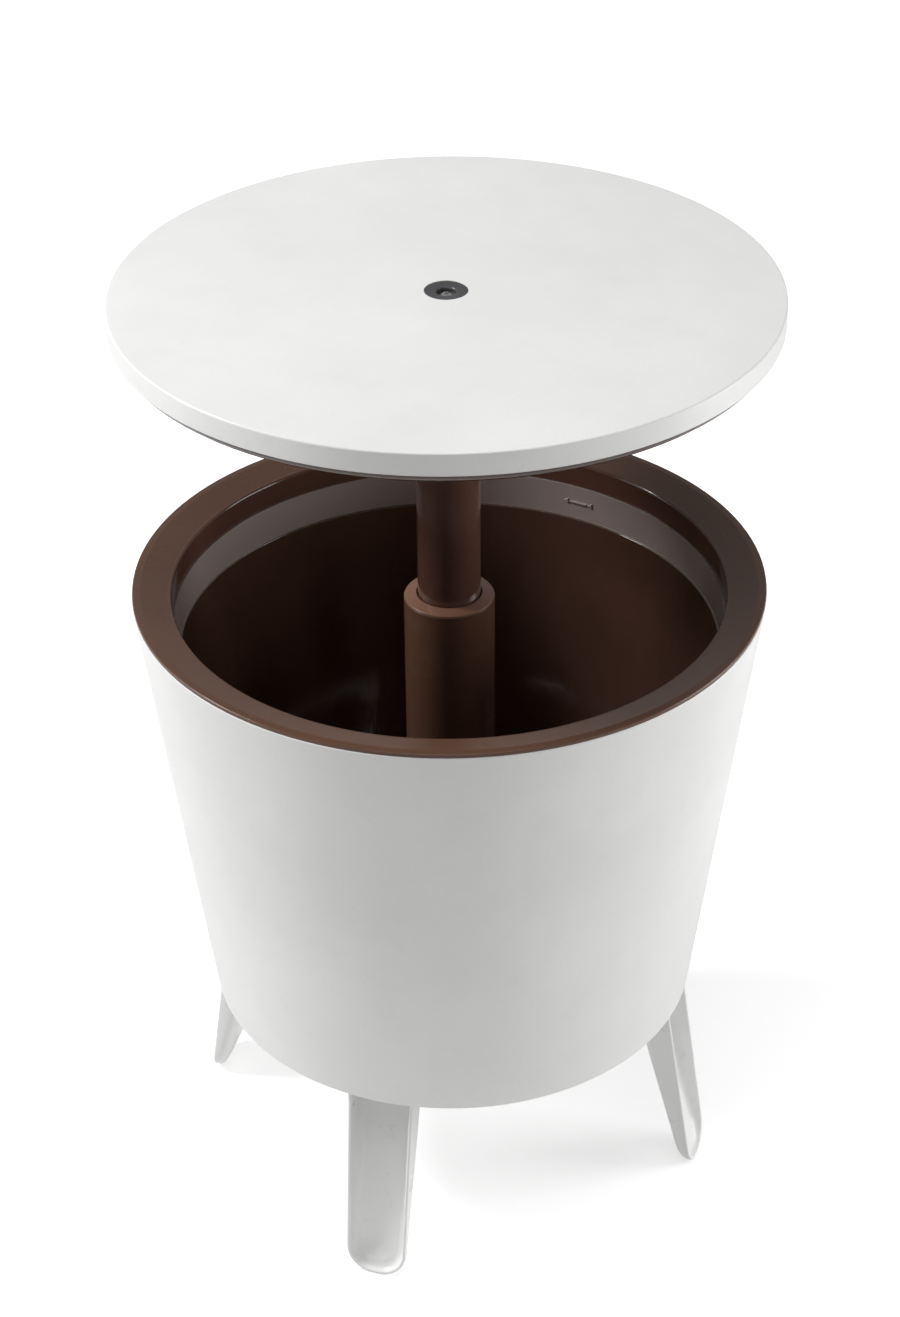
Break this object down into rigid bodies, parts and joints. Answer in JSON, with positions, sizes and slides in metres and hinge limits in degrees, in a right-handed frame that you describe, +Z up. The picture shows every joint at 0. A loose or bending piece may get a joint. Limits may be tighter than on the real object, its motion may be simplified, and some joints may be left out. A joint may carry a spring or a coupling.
{
  "type": "cooler bar table",
  "caption": "Round white table top on a telescopic pole that rises out of an insulated round ice bucket on splayed legs.",
  "frame": {"origin": "on the floor, under the centre of the table", "axes": "+Z up along the pole; the legs lie on +X (right), +Y (back), -X (left) and -Y (front)"},
  "size_m": [0.4949, 0.495, 0.778],
  "materials": {
    "white_plastic": "satin with a very fine grain",
    "white_leg": "satin, slightly smoother than the casing",
    "brown_satin": "satin brown with a fine grain",
    "brown_gloss": "glossy dark brown, smooth",
    "grey_plastic": "satin grey",
    "screw_steel": "plain zinc-plated steel",
    "bright_steel": "bright polished steel",
    "rubber": "matte black rubber"
  },
  "bodies": {
    "cooler": {"sleeve": "brown_satin", "sleeve_guide": "brown_satin", "sleeve_screws": "screw_steel", "rim_ring": "brown_satin", "rim_screws": "screw_steel", "liner": "brown_gloss", "casing": "white_plastic", "base_plate": "white_plastic", "base_screws": "screw_steel", "right_leg": "white_leg", "back_leg": "white_leg", "left_leg": "white_leg", "front_leg": "white_leg", "leg_screws": "screw_steel"},
    "carriage": {"lock_collar": "grey_plastic"},
    "mast": {"tabletop_cover": "white_plastic", "tabletop_underside": "brown_gloss", "underside_screws": "screw_steel", "centre_cup": "grey_plastic", "centre_bolt": "bright_steel", "centre_nut": "screw_steel", "table_hub": "brown_satin", "hub_screws": "screw_steel", "pole": "brown_gloss", "pole_head": "grey_plastic", "pole_foot": "grey_plastic", "retainer_washer": "screw_steel", "retainer_screw": "screw_steel"},
    "drain": {"drain_cap": "grey_plastic", "drain_gasket": "rubber"}
  },
  "joints": [
    {"name": "table_lift", "type": "slide", "parent": "cooler", "child": "carriage", "axis": [0, 0, 1], "range_m": [-0.2165, 0]},
    {"name": "pole_twist", "type": "hinge", "parent": "carriage", "child": "mast", "pos_m": [0, 0, 0.477], "axis": [0, 0, 1], "range_deg": [-60, 0]},
    {"name": "drain_pull", "type": "slide", "parent": "cooler", "child": "drain", "axis": [0, 0, -1], "range_m": [0, 0.06]}
  ]
}
